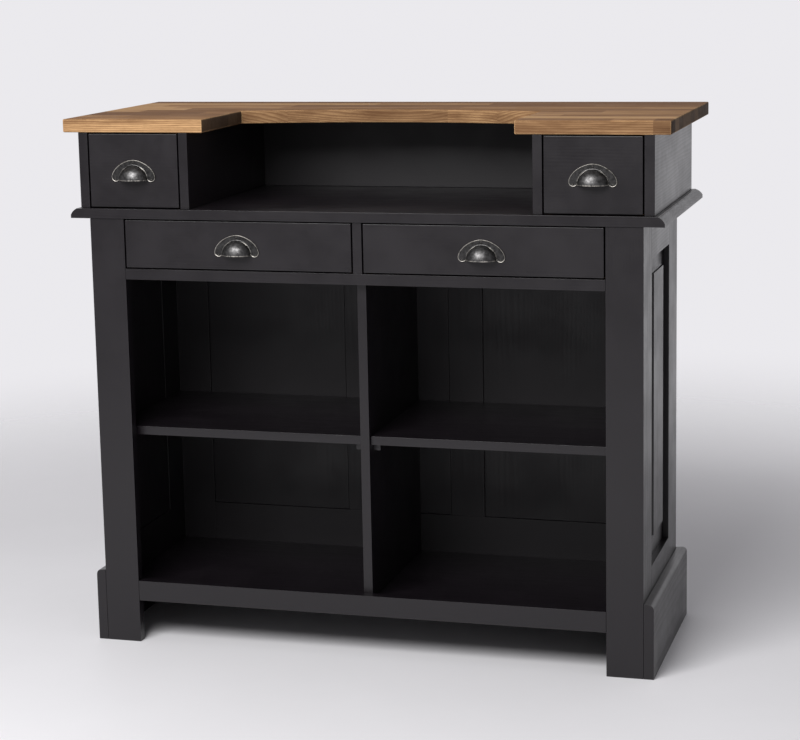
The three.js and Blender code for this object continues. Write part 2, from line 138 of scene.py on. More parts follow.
class WorktopSettings(bpy.types.PropertyGroup):
    """Glued and oiled staves of the worktop."""

    early: colour("Early Wood", "Pale wood between the rings", (0.84, 0.52, 0.255))
    late: colour("Late Wood", "Dark wood of the rings", (0.27, 0.125, 0.052))
    # This brown is painted shade: it darkens the upward faces of the worktop, which look darker than its
    # edges because of how the light falls.
    painted_top_shade: colour("Painted Top Shade", "Brown that use and oil have left on the top", (0.170, 0.080, 0.036))
    heart: colour("Heart Wood", "Darkest boards", (0.085, 0.038, 0.018))
    pale: colour("Sap Wood", "Palest boards", (0.86, 0.56, 0.28))
    end: colour("End Grain", "Darkest end grain", (0.030, 0.019, 0.012))
    knot: colour("Knots", "Wood in and round the knots", (0.085, 0.036, 0.014))
    roughness: share("Roughness", "Roughness of the oiled surface", 0.72)
    stave_width: length("Stave Width", "Width of each glued stave", 0.051)
    shortest: length("Shortest Board", "Shortest board within a stave", 0.24)
    longest: length("Longest Board", "Longest board within a stave", 0.62)
    easing: length("Easing", "Extra rounding along the chamfered edges", 0.0006)
    ring_width: length("Ring Width", "Distance between growth rings", 0.0042)
    relief: length("Grain Relief", "Depth of the brushed grain", 0.0004)
    seed: bpy.props.IntProperty(name="Seed", description="Order of boards and tones", default=7)


class DrawerSettings(bpy.types.PropertyGroup):
    """Bare wood of the drawer boxes."""

    early: colour("Early Wood", "Pale wood between the rings", (0.60, 0.42, 0.24))
    late: colour("Late Wood", "Darker wood of the rings", (0.43, 0.255, 0.115))
    roughness: share("Roughness", "Roughness of the sanded wood", 0.62)
    arris: length("Arris", "Rounding of the box edges", 0.0007)
    ring_width: length("Ring Width", "Distance between growth rings", 0.0034)
    relief: length("Grain Relief", "Depth of the sanded grain", 0.00025)


class PullSettings(bpy.types.PropertyGroup):
    """Cast cup pulls and the screws that hold them."""

    patina: colour("Patina", "Dark metal in the flats and hollows", (0.088, 0.086, 0.086))
    # The bright metal is partly wear and partly painted highlight on the rims, beads and lip.
    worn_and_sheen: colour("Worn Metal And Sheen", "Bright metal on rims and beads", (0.44, 0.415, 0.38))
    steel: colour("Screw Steel", "Blackened steel of the screws", (0.055, 0.052, 0.050))
    roughness: share("Roughness", "Roughness of the cast metal where it is smoothest", 0.33)
    relief: length("Cast Relief", "Depth of the cast surface", 0.0001)
    cup_width: length("Cup Width", "Width of the cup where it leaves the flange", 0.062)
    cup_height: length("Cup Height", "Height of the cup above its mouth", 0.0295)
    cup_rise: length("Cup Rise", "Height of the mouth above the flange's lower ends", 0.0035)
    cup_wall: length("Cup Wall", "Thickness of the cup", 0.002)
    flange: length("Flange", "Thickness of the flange between its beads", 0.0015)
    rim: length("Rim", "Height of the raised rim", 0.0025)
    rim_width: length("Rim Width", "Width of the raised rim", 0.0022)
    fullness: bpy.props.FloatProperty(
        name="Fullness", description="Fullness of the flange's arch, 2 for an ellipse", default=1.75, min=1.0
    )
    bead: length("Bead", "Radius of the bead round the cup", 0.0011)
    lip: length("Lip", "Radius of the rolled lower lip", 0.0011)
    screw_radius: length("Screw Radius", "Radius of the screw heads", 0.0025)
    screw_height: length("Screw Height", "Height of the screw heads", 0.0011)
    screw_slot: length("Screw Slot", "Width of the screw slots", 0.0006)
    screw_roughness: share("Screw Roughness", "Roughness of the screw heads", 0.42)


class PinSettings(bpy.types.PropertyGroup):
    """Shelf pins under the outer ends of the shelves."""

    steel: colour("Pin Steel", "Zinc plated steel", (0.42, 0.42, 0.41))
    roughness: share("Roughness", "Roughness of the plated steel", 0.3)
    radius: length("Pin Radius", "Radius of the pin", 0.0025)
    collar: length("Collar Radius", "Radius of the collar at the wall", 0.0045)
    collar_edge: length("Collar Edge", "Height of the collar's straight edge", 0.0012)
    collar_shoulder: length("Collar Shoulder", "Height of the collar's rounded shoulder", 0.0018)
    collar_height: length("Collar Height", "Height of the whole collar", 0.0022)
    reach: length("Reach", "How far the pin stands out of the wall", 0.011)
    depth: length("Depth", "How far the pin goes into the wall", 0.008)
    end_inset: length("End Inset", "Distance from the shelf's front and back edges", 0.045)


class StageSettings(bpy.types.PropertyGroup):
    """Floor, light and camera."""

    floor: colour("Floor", "Pale floor", (0.84, 0.83, 0.85))
    backdrop: colour("Backdrop", "Pale surroundings", (0.83, 0.82, 0.85))
    floor_radius: length("Floor Radius", "Radius of the round floor", 12.0)
    fade_ahead: length("Fade Ahead", "How far in front of the counter the floor has its middle", 2.0)
    fade_start: length("Fade Start", "Where the floor starts to melt into the backdrop", 2.7)
    fade_end: length("Fade End", "Where the floor has melted into the backdrop", 5.4)
    sky: share("Sky", "Strength of the even light all round", 0.36)
    key: bpy.props.FloatProperty(
        name="Key", description="Power of the large soft box", default=158.0, min=0.0, unit="POWER"
    )
    key_width: length("Key Width", "Width of the soft box", 2.4)
    key_height: length("Key Height", "Height of the soft box", 1.8)
    key_place: bpy.props.FloatVectorProperty(
        name="Key Place", description="Middle of the soft box", subtype="TRANSLATION", unit="LENGTH",
        default=(-0.7, -3.0, 3.0),
    )
    key_target: bpy.props.FloatVectorProperty(
        name="Key Target", description="Where the soft box points", subtype="TRANSLATION", unit="LENGTH",
        default=(0.0, 0.0, 0.6),
    )
    eye: bpy.props.FloatVectorProperty(
        name="Eye", description="Place of the camera", subtype="TRANSLATION", unit="LENGTH",
        default=(1.2379, -4.2089, 1.4122),
    )
    turn: angle("Turn", "How far the camera looks to the left of +Y", 16.205)
    tilt: angle("Tilt", "How far the camera looks down", 9.983)
    roll: angle("Roll", "Lean of the camera", -1.119)
    lens: bpy.props.FloatProperty(
        name="Lens", description="Focal length of the camera", default=95.35, unit="CAMERA"
    )
    shift: bpy.props.FloatProperty(
        name="Shift", description="Upward shift of the frame, in image widths", default=-0.05
    )


class CounterSettings(bpy.types.PropertyGroup):
    """All the sizes and colours of the counter's looks."""

    paint: bpy.props.PointerProperty(type=PaintSettings)
    worktop: bpy.props.PointerProperty(type=WorktopSettings)
    drawer: bpy.props.PointerProperty(type=DrawerSettings)
    pull: bpy.props.PointerProperty(type=PullSettings)
    pin: bpy.props.PointerProperty(type=PinSettings)
    stage: bpy.props.PointerProperty(type=StageSettings)


class Bench:
    """A node tree being wired: numbers are set on sockets, and sockets are linked."""

    def __init__(self, tree):
        self.tree = tree

    def feed(self, socket, value):
        if isinstance(value, bpy.types.NodeSocket):
            self.tree.links.new(value, socket)
        else:
            socket.default_value = value

    def add(self, kind, feeds=None, **settings):
        node = self.tree.nodes.new(kind)
        for name, value in settings.items():
            setattr(node, name, value)
        for name, value in (feeds or {}).items():
            self.feed(node.inputs[name], value)
        return node

    def math(self, operation, *values):
        node = self.add("ShaderNodeMath", operation=operation)
        for socket, value in zip(node.inputs, values):
            self.feed(socket, value)
        return node.outputs[0]

    def vector(self, operation, *values):
        node = self.add("ShaderNodeVectorMath", operation=operation)
        for socket, value in zip(node.inputs, values):
            self.feed(socket, value)
        scalar = operation in ("LENGTH", "DOT_PRODUCT")
        return node.outputs["Value" if scalar else "Vector"]

    def part(self, vector, axis):
        return self.add("ShaderNodeSeparateXYZ", {0: vector}).outputs[axis]

    def place(self):
        return self.add("ShaderNodeTexCoord").outputs["Object"]

    def facing(self):
        return self.add("ShaderNodeNewGeometry").outputs["Normal"]

    def mix(self, factor, first, second):
        node = self.add("ShaderNodeMix", data_type="RGBA")
        colours = [socket for socket in node.inputs if socket.type == "RGBA"]
        self.feed(node.inputs[0], factor)
        for socket, value in zip(colours, (first, second)):
            self.feed(socket, value if isinstance(value, bpy.types.NodeSocket) else (*value, 1.0))
        return next(socket for socket in node.outputs if socket.type == "RGBA")

    def fade(self, value, start, end, low=0.0, high=1.0):
        """A value that runs smoothly from low to high as another runs from start to end."""
        feeds = {"Value": value, "From Min": start, "From Max": end, "To Min": low, "To Max": high}
        return self.add("ShaderNodeMapRange", feeds, interpolation_type="SMOOTHSTEP").outputs[0]

    def noise(self, place, scale, detail=2.0, roughness=0.5):
        feeds = {"Vector": place, "Scale": scale, "Detail": detail, "Roughness": roughness}
        return self.add("ShaderNodeTexNoise", feeds).outputs[0]

    def group(self, tree, feeds):
        return self.add("ShaderNodeGroup", feeds, node_tree=tree).outputs


def new_group(name, inputs, outputs):
    """An empty shader group with named sockets: its bench, what comes in and what goes out."""
    tree = bpy.data.node_groups.new(name, "ShaderNodeTree")
    for label, kind in inputs:
        tree.interface.new_socket(name=label, in_out="INPUT", socket_type=kind)
    for label in outputs:
        tree.interface.new_socket(name=label, in_out="OUTPUT", socket_type="NodeSocketFloat")
    bench = Bench(tree)
    return bench, bench.add("NodeGroupInput").outputs, bench.add("NodeGroupOutput").inputs


def shared_group(name, build):
    """A group that is built the first time that a material needs it."""
    return bpy.data.node_groups.get(name) or build(name)


def build_wood_growth(name):
    """Growth rings round a pith, fibres and pores, with the first axis along the grain."""
    inputs = [
        ("Place", "NodeSocketVector"), ("Pith", "NodeSocketVector"), ("Ring Width", "NodeSocketFloat"),
        ("Sway", "NodeSocketFloat"), ("Swell", "NodeSocketFloat"),
    ]
    bench, given, made = new_group(name, inputs, ("Late Wood", "Fibre", "Pores"))
    slow = bench.vector("MULTIPLY", bench.vector("ADD", given["Place"], given["Pith"]), (0.8, 9.0, 9.0))
    sway = bench.math("SUBTRACT", bench.noise(slow, 1.6, 3.0), 0.5)
    away = bench.vector("SUBTRACT", given["Place"], given["Pith"])
    across = bench.vector("MULTIPLY", away, (0.0, 1.0, 1.0))
    radius = bench.math("MULTIPLY_ADD", sway, given["Sway"], bench.vector("LENGTH", across))
    radius = bench.math("ADD", radius, given["Swell"])
    ring = bench.math("FRACT", bench.math("DIVIDE", radius, given["Ring Width"]))
    growing = bench.fade(ring, 0.15, 0.86)
    resting = bench.fade(ring, 0.90, 1.0, 1.0, 0.0)
    bench.feed(made["Late Wood"], bench.math("MULTIPLY", growing, resting))
    fine = bench.vector("MULTIPLY", given["Place"], (14.0, 620.0, 620.0))
    bench.feed(made["Fibre"], bench.noise(fine, 1.0, 3.0, 0.6))
    short = bench.vector("MULTIPLY", given["Place"], (60.0, 1500.0, 1500.0))
    bench.feed(made["Pores"], bench.fade(bench.noise(short, 1.0, 1.0), 0.60, 0.74))
    return bench.tree


def build_tone_clouds(name):
    """Slow drift of tone over a surface."""
    inputs = [("Place", "NodeSocketVector"), ("Size", "NodeSocketFloat")]
    bench, given, made = new_group(name, inputs, ("Clouds",))
    frequency = bench.math("DIVIDE", 1.0, given["Size"])
    bench.feed(made["Clouds"], bench.fade(bench.noise(given["Place"], frequency, 5.0, 0.62), 0.28, 0.72))
    return bench.tree


def build_edge_sheen_and_rubbing(name):
    """Mask of the edges that are coloured lighter, partly as painted highlight and partly as rubbing:
    strongest on sharp corners, broken up by slow patches.
    """
    inputs = [("Place", "NodeSocketVector"), ("Reach", "NodeSocketFloat")]
    bench, given, made = new_group(name, inputs, ("Sheen And Rubbing",))
    rounded = bench.add("ShaderNodeBevel", {"Radius": given["Reach"]}, samples=4).outputs["Normal"]
    turn = bench.math("SUBTRACT", 1.0, bench.vector("DOT_PRODUCT", bench.facing(), rounded))
    edge = bench.fade(turn, 0.01, 0.16)
    patches = bench.fade(bench.noise(given["Place"], 24.0, 4.0, 0.65), 0.36, 0.66, 0.15, 1.0)
    bench.feed(made["Sheen And Rubbing"], bench.math("MULTIPLY", edge, patches))
    return bench.tree


def wood_growth():
    return shared_group("Wood Growth", build_wood_growth)


def tone_clouds():
    return shared_group("Tone Clouds", build_tone_clouds)


def edge_sheen_and_rubbing():
    return shared_group("Rubbed Edges", build_edge_sheen_and_rubbing)


def new_finish(name, **constants):
    """An empty material, its bench and its shader's sockets, with what is the same all over already set."""
    material = bpy.data.materials.new(name)
    material.use_nodes = True
    material.node_tree.nodes.clear()
    bench = Bench(material.node_tree)
    shader = bench.add("ShaderNodeBsdfPrincipled")
    bench.add("ShaderNodeOutputMaterial", {"Surface": shader.outputs[0]})
    for label, value in constants.items():
        shader.inputs[label.replace("_", " ")].default_value = value
    return material, bench, shader.inputs


def place_along(bench, axis):
    """Places on the object with the grain's axis first, shifted from piece to piece."""
    split = bench.add("ShaderNodeSeparateXYZ", {0: bench.place()})
    join = bench.add("ShaderNodeCombineXYZ")
    for socket, source in zip(join.inputs, GRAIN_ORDER[axis]):
        bench.feed(socket, split.outputs[source])
    chance = bench.add("ShaderNodeObjectInfo").outputs["Random"]
    return bench.vector("ADD", join.outputs[0], bench.vector("MULTIPLY", (7.0, 0.31, 0.23), chance))


def raise_surface(bench, height, distance, strength=0.5):
    """A normal that follows a height."""
    bump = bench.add("ShaderNodeBump", {"Height": height, "Distance": distance, "Strength": strength})
    return bump.outputs[0]


def painted_wood(paint, axis):
    """Satin paint over wood whose grain still shows."""
    name = f"painted_wood_{axis}"
    if name in bpy.data.materials:
        return bpy.data.materials[name]
    material, bench, surface = new_finish(name, IOR=1.5)
    place = place_along(bench, axis)
    feeds = {"Place": place, "Pith": (0.0, 0.16, -0.11), "Ring Width": paint.ring_width, "Sway": 0.03}
    growth = bench.group(wood_growth(), feeds)
    clouds = bench.group(tone_clouds(), {"Place": place, "Size": 0.11})["Clouds"]
    # The paint is coloured lighter along sharp edges: a painted highlight along the arrises.
    sheen_and_rubbing = bench.group(edge_sheen_and_rubbing(), {"Place": place, "Reach": 0.0022})["Sheen And Rubbing"]
    tone = Vector(paint.tone)
    body = bench.mix(clouds, tone * 0.86, tone * 1.14)
    grained = bench.mix(bench.math("MULTIPLY", growth["Pores"], 0.5), body, tone * 0.55)
    bench.feed(surface["Base Color"], bench.mix(sheen_and_rubbing, grained, Vector(paint.sheen_and_rubbing)))
    rough = bench.math("MULTIPLY_ADD", clouds, 0.10, paint.roughness - 0.05)
    rough = bench.math("MULTIPLY_ADD", growth["Late Wood"], 0.04, rough)
    rough = bench.math("MULTIPLY_ADD", sheen_and_rubbing, -0.08, rough)
    deep = bench.fade(bench.part(bench.place(), "Y"), 0.0, 0.05)
    frontal = bench.fade(bench.part(bench.facing(), "Y"), -0.9, -0.5, 1.0, 0.0)
    inside = bench.math("MULTIPLY", deep, frontal)
    rougher = paint.inside_roughness - paint.roughness
    bench.feed(surface["Roughness"], bench.math("MULTIPLY_ADD", inside, rougher, rough))
    fibres = bench.math("MULTIPLY_ADD", growth["Fibre"], 0.6, growth["Late Wood"])
    height = bench.math("MULTIPLY_ADD", growth["Pores"], -0.7, fibres)
    bench.feed(surface["Normal"], raise_surface(bench, height, paint.relief, 0.045))
    return material


def bare_wood(drawer, axis):
    """Sanded softwood of the drawer boxes."""
    name = f"bare_wood_{axis}"
    if name in bpy.data.materials:
        return bpy.data.materials[name]
    material, bench, surface = new_finish(name, IOR=1.45)
    place = place_along(bench, axis)
    feeds = {"Place": place, "Pith": (0.0, 0.09, -0.06), "Ring Width": drawer.ring_width, "Sway": 0.035}
    growth = bench.group(wood_growth(), feeds)
    clouds = bench.group(tone_clouds(), {"Place": place, "Size": 0.16})["Clouds"]
    rings = bench.mix(growth["Late Wood"], Vector(drawer.early), Vector(drawer.late))
    fibred = bench.mix(bench.math("MULTIPLY", growth["Fibre"], 0.22), rings, Vector(drawer.late))
    drifted = bench.mix(bench.math("MULTIPLY", clouds, 0.25), fibred, Vector(drawer.early) * 0.72)
    bench.feed(surface["Base Color"], drifted)
    rough = bench.math("MULTIPLY_ADD", growth["Late Wood"], -0.10, drawer.roughness)
    bench.feed(surface["Roughness"], bench.math("MULTIPLY_ADD", growth["Fibre"], 0.08, rough))
    height = bench.math("MULTIPLY_ADD", growth["Fibre"], 0.7, growth["Late Wood"])
    bench.feed(surface["Normal"], raise_surface(bench, height, drawer.relief, 0.3))
    return material


def oiled_wood(worktop):
    """Oiled staves: each board has its own tone and pith, with knots, streaks and end grain."""
    material, bench, surface = new_finish("oiled_wood", IOR=1.45, Specular_IOR_Level=0.12)
    place = bench.place()
    pith = bench.add("ShaderNodeAttribute", attribute_name="pith").outputs["Vector"]
    tone = bench.add("ShaderNodeAttribute", attribute_name="tone").outputs["Fac"]

    cells = bench.vector("MULTIPLY", bench.vector("ADD", place, pith), (3.4, 10.0, 10.0))
    knot = bench.add("ShaderNodeTexVoronoi", {"Vector": cells, "Scale": 1.0})
    chance = bench.add("ShaderNodeSeparateColor", {0: knot.outputs["Color"]}).outputs[0]
    chosen = bench.fade(chance, 0.62, 0.66)
    heart = bench.math("MULTIPLY", bench.fade(knot.outputs["Distance"], 0.05, 0.12, 1.0, 0.0), chosen)
    halo = bench.math("MULTIPLY", bench.fade(knot.outputs["Distance"], 0.0, 0.42, 1.0, 0.0), chosen)

    swell = bench.math("MULTIPLY", halo, 0.022)
    feeds = {"Place": place, "Pith": pith, "Ring Width": worktop.ring_width, "Sway": 0.03, "Swell": swell}
    growth = bench.group(wood_growth(), feeds)
    drawn_out = bench.vector("MULTIPLY", place, (0.6, 6.0, 6.0))
    streaks = bench.group(tone_clouds(), {"Place": drawn_out, "Size": 0.10})["Clouds"]
    sheen_and_rubbing = bench.group(edge_sheen_and_rubbing(), {"Place": place, "Reach": 0.0045})["Sheen And Rubbing"]

    early, late = Vector(worktop.early), Vector(worktop.late)
    rings = bench.mix(bench.math("MULTIPLY", growth["Late Wood"], 0.7), early, late)
    streaked = bench.mix(bench.math("MULTIPLY", streaks, 0.85), rings, late * 0.6)
    fibred = bench.mix(bench.math("MULTIPLY", growth["Fibre"], 0.3), streaked, late * 0.7)
    board = bench.mix(bench.fade(tone, 0.0, 0.9, 0.78, 0.0), fibred, Vector(worktop.heart))
    paled = bench.mix(bench.fade(tone, 0.5, 1.0, 0.0, 0.5), board, Vector(worktop.pale))
    haloed = bench.mix(bench.math("MULTIPLY", halo, 0.5), paled, late * 0.8)
    knotted = bench.mix(heart, haloed, Vector(worktop.knot))
    pored = bench.mix(bench.math("MULTIPLY", growth["Pores"], 0.45), knotted, Vector(worktop.knot))

    upward = bench.part(bench.facing(), "Z")
    sideways = bench.math("ABSOLUTE", bench.part(bench.facing(), "X"))
    # Upward faces are darkened toward the brown of the top: painted shade, as the top takes less light than
    # the front edges.
    top_shaded = bench.mix(bench.fade(upward, 0.4, 0.9, 0.0, 0.42), pored, Vector(worktop.painted_top_shade))
    end_wood = bench.mix(tone, Vector(worktop.end), Vector(worktop.end) * 3.0)
    ended = bench.mix(bench.fade(sideways, 0.6, 0.95, 0.0, 0.9), top_shaded, end_wood)
    # The edges are paled: partly a paler worn chamfer, partly a painted highlight along the front edge.
    worn_and_sheen = bench.mix(bench.math("MULTIPLY", sheen_and_rubbing, 0.85), ended, Vector(worktop.pale))
    bench.feed(surface["Base Color"], worn_and_sheen)

    rough = bench.math("MULTIPLY_ADD", growth["Late Wood"], -0.08, worktop.roughness)
    bench.feed(surface["Roughness"], bench.math("MULTIPLY_ADD", streaks, 0.10, rough))
    height = bench.math("MULTIPLY_ADD", growth["Fibre"], 0.5, growth["Late Wood"])
    height = bench.math("MULTIPLY_ADD", growth["Pores"], -0.8, height)
    bench.feed(surface["Normal"], raise_surface(bench, height, worktop.relief, 0.35))
    return material


def cast_pewter(pull):
    """Dark cast metal, made bright on its rims, beads and lip as wear and painted highlight, with a lighter
    cup as painted highlight.
    """
    material, bench, surface = new_finish("cast_pewter", Metallic=1.0)
    place = bench.place()
    wear_and_sheen = bench.add("ShaderNodeAttribute", attribute_name="wear_and_sheen").outputs["Fac"]
    clouds = bench.group(tone_clouds(), {"Place": place, "Size": 0.006})["Clouds"]
    speckle = bench.noise(place, 900.0, 3.0, 0.6)
    uneven = bench.math("MULTIPLY_ADD", bench.math("SUBTRACT", clouds, 0.5), 0.55, wear_and_sheen)
    bright = bench.fade(uneven, 0.45, 1.05)
    patina = Vector(pull.patina)
    hollows = bench.mix(clouds, patina * 0.36, patina * 0.9)
    # Where the value passes 0.2 the metal is lighter: a painted highlight on the cup, wear and painted
    # highlight on the rims and beads.
    sheen_and_handling = bench.mix(clouds, patina * 0.6, patina * 1.7)
    flats = bench.mix(bench.fade(wear_and_sheen, 0.0, 0.2), hollows, sheen_and_handling)
    bench.feed(surface["Base Color"], bench.mix(bright, flats, Vector(pull.worn_and_sheen)))
    rough = bench.math("MULTIPLY_ADD", speckle, 0.16, pull.roughness)
    bench.feed(surface["Roughness"], bench.math("MULTIPLY_ADD", bright, 0.08, rough))
    height = bench.math("MULTIPLY_ADD", clouds, 1.5, speckle)
    bench.feed(surface["Normal"], raise_surface(bench, height, pull.relief, 0.35))
    return material


def plated_steel(name, tone, roughness):
    """Turned steel with a thin plated or blackened skin."""
    if name in bpy.data.materials:
        return bpy.data.materials[name]
    material, bench, surface = new_finish(name, Metallic=1.0)
    place = bench.place()
    clouds = bench.group(tone_clouds(), {"Place": place, "Size": 0.003})["Clouds"]
    sheen_and_rubbing = bench.group(edge_sheen_and_rubbing(), {"Place": place, "Reach": 0.0004})["Sheen And Rubbing"]
    skin = bench.mix(clouds, Vector(tone) * 0.75, Vector(tone) * 1.2)
    bench.feed(surface["Base Color"], bench.mix(sheen_and_rubbing, skin, Vector(tone) * 2.0))
    bench.feed(surface["Roughness"], bench.math("MULTIPLY_ADD", clouds, 0.15, roughness))
    bench.feed(surface["Normal"], raise_surface(bench, clouds, 0.00005, 0.3))
    return material


def pale_floor(stage):
    """Plain pale floor with the faintest mottle."""
    material, bench, surface = new_finish("pale_floor", Roughness=0.55, Specular_IOR_Level=0.2)
    place = bench.place()
    clouds = bench.group(tone_clouds(), {"Place": place, "Size": 0.5})["Clouds"]
    floor = Vector(stage.floor)
    bench.feed(surface["Base Color"], bench.mix(clouds, floor * 0.985, floor * 1.01))
    ahead = bench.vector("ADD", place, (0.0, stage.fade_ahead, 0.0))
    away = bench.vector("LENGTH", bench.vector("MULTIPLY", ahead, (FLOOR_SPREAD, 1.0, 0.0)))
    bench.feed(surface["Alpha"], bench.fade(away, stage.fade_start, stage.fade_end, 1.0, 0.0))
    return material


def give_finish(piece, material):
    """Puts a material on all of a piece."""
    if not piece.material_slots:
        piece.data.materials.append(None)
    for place in piece.material_slots:
        place.material = material


def smoothing_group():
    """Geometry nodes that smooth every face and keep the edges that are still sharp."""
    name = "Smooth Faces"
    if name in bpy.data.node_groups:
        return bpy.data.node_groups[name]
    tree = bpy.data.node_groups.new(name, "GeometryNodeTree")
    tree.is_modifier = True
    for way in ("INPUT", "OUTPUT"):
        tree.interface.new_socket(name="Geometry", in_out=way, socket_type="NodeSocketGeometry")
    bench = Bench(tree)
    given = bench.add("NodeGroupInput").outputs[0]
    turn = bench.add("GeometryNodeInputMeshEdgeAngle").outputs["Unsigned Angle"]
    sharp = bench.add("FunctionNodeCompare", {0: turn, 1: SHARP_ANGLE}, operation="GREATER_THAN").outputs[0]
    faces = bench.add("GeometryNodeSetShadeSmooth", {"Geometry": given, "Shade Smooth": True}, domain="FACE")
    feeds = {"Geometry": faces.outputs[0], "Selection": sharp, "Shade Smooth": False}
    edges = bench.add("GeometryNodeSetShadeSmooth", feeds, domain="EDGE")
    bench.add("NodeGroupOutput", {0: edges.outputs[0]})
    return tree


def ease_edges(piece, width):
    """Rounds a board's edges a little, as sanding and paint do."""
    weld = piece.modifiers.new("Weld corners", "WELD")
    weld.merge_threshold = WELD
    flats = piece.modifiers.new("Clear flats", "DECIMATE")
    flats.decimate_type = "DISSOLVE"
    flats.angle_limit = FLAT_ANGLE
    bevel = piece.modifiers.new("Ease edges", "BEVEL")
    bevel.width = width
    bevel.segments = 2
    bevel.limit_method = "ANGLE"
    bevel.angle_limit = SHARP_ANGLE
    smooth = piece.modifiers.new("Smooth faces", "NODES")
    smooth.node_group = smoothing_group()
    normals = piece.modifiers.new("Even normals", "WEIGHTED_NORMAL")
    normals.keep_sharp = True


def longest_axis(node):
    """The axis that a board's grain follows."""
    low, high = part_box(node)
    size = high - low
    return "xyz"[max(range(3), key=lambda axis: size[axis])]


def new_piece(name, mesh_builder, material, body):
    """Makes an object from a bmesh, with smooth faces and sharp corners, that rides on a body."""
    for face in mesh_builder.faces:
        face.smooth = True
    for edge in mesh_builder.edges:
        edge.smooth = edge.is_manifold and edge.calc_face_angle(math.pi) < SHARP_ANGLE
    mesh = bpy.data.meshes.new(name)
    mesh_builder.to_mesh(mesh)
    mesh_builder.free()
    piece = bpy.data.objects.new(name, mesh)
    bpy.context.scene.collection.objects.link(piece)
    give_finish(piece, material)
    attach(piece, body)
    return piece


def loft(bm, rings, wear_and_sheen, values):
    """Skins a row of rings of points, caps both ends and writes how bright each ring is made, as wear and
    painted highlight.
    """
    rows = []
    for ring, value in zip(rings, values):
        row = [bm.verts.new(point) for point in ring]
        for vertex in row:
            vertex[wear_and_sheen] = value
        rows.append(row)
    count = len(rows[0])
    for first, second in zip(rows, rows[1:]):
        for index in range(count):
            following = (index + 1) % count
            bm.faces.new((first[index], first[following], second[following], second[index]))
    bm.faces.new(rows[0])
    bm.faces.new(rows[-1])


def sweep(bm, path, normal, radius, wear_and_sheen, value):
    """A round bead along a flat path."""
    rings = []
    for index, point in enumerate(path):
        ahead = path[min(index + 1, len(path) - 1)]
        behind = path[max(index - 1, 0)]
        side = (ahead - behind).normalized().cross(normal)
        turns = [2 * math.pi * step / BEAD_SIDES for step in range(BEAD_SIDES)]
        rings.append([point + radius * (math.cos(t) * normal + math.sin(t) * side) for t in turns])
    loft(bm, rings, wear_and_sheen, [value] * len(rings))


def arc(middle, radii, start, end, steps):
    """Points along part of an ellipse, both ends included."""
    points = []
    for step in range(steps + 1):
        turn = start + (end - start) * step / steps
        points.append(Vector((middle[0] + radii[0] * math.cos(turn), middle[1] + radii[1] * math.sin(turn))))
    return points


def arch(middle, radii, fullness, steps):
    """The upper half of an ellipse, with leaner shoulders when its fullness is under 2."""
    points = []
    for point in arc((0.0, 0.0), (1.0, 1.0), 0.0, math.pi, steps):
        across, up = (math.copysign(abs(value) ** (2 / fullness), value) for value in point)
        points.append(Vector((middle[0] + radii[0] * across, middle[1] + radii[1] * up)))
    return points


def inset(outline, distance):
    """A closed outline moved inwards."""
    moved = []
    for index, point in enumerate(outline):
        along = (outline[(index + 1) % len(outline)] - outline[index - 1]).normalized()
        moved.append(point + distance * Vector((-along.y, along.x)))
    return moved


def flange_outline(pull, width, height):
    """Arched outline of a pull's flange: outer arch, left end, mouth, right end."""
    half = width / 2
    mouth_half = pull.cup_width / 2 - pull.cup_wall
    end = (half - mouth_half) / 2
    mouth_top = pull.cup_rise + pull.cup_height - pull.cup_wall
    runs = [
        arch((0.0, end), (half, height - end), pull.fullness, ARCH_STEPS),
        arc((end - half, end), (end, end), math.pi, 2 * math.pi, FLANGE_END_STEPS),
        arc((0.0, end), (mouth_half, mouth_top - end), math.pi, 0.0, ARCH_STEPS),
        arc((half - end, end), (end, end), math.pi, 2 * math.pi, FLANGE_END_STEPS),
    ]
    return [point for run in runs for point in run[1:]]


def add_flange(bm, pull, width, height, wear_and_sheen):
    """Thin plate with a raised rounded rim."""
    outline = flange_outline(pull, width, height)
    rim, wide, flat = pull.rim, pull.rim_width, pull.flange
    # The last number of each step is how bright the metal is made there: the rim's top is brightest, as wear
    # and painted highlight.
    profile = [
        (0.0, 0.0, 0.2), (0.0, 0.55 * rim, 0.5), (0.10 * wide, 0.84 * rim, 0.9), (0.34 * wide, rim, 1.0),
        (0.60 * wide, 0.92 * rim, 0.9), (0.84 * wide, 0.72 * rim, 0.4), (wide, flat, 0.0),
        (1.25 * wide, flat, 0.0),
    ]
    rings = [
        [Vector((point.x, -rise, point.y)) for point in inset(outline, distance)]
        for distance, rise, _ in profile
    ]
    loft(bm, rings, wear_and_sheen, [value for _, _, value in profile])


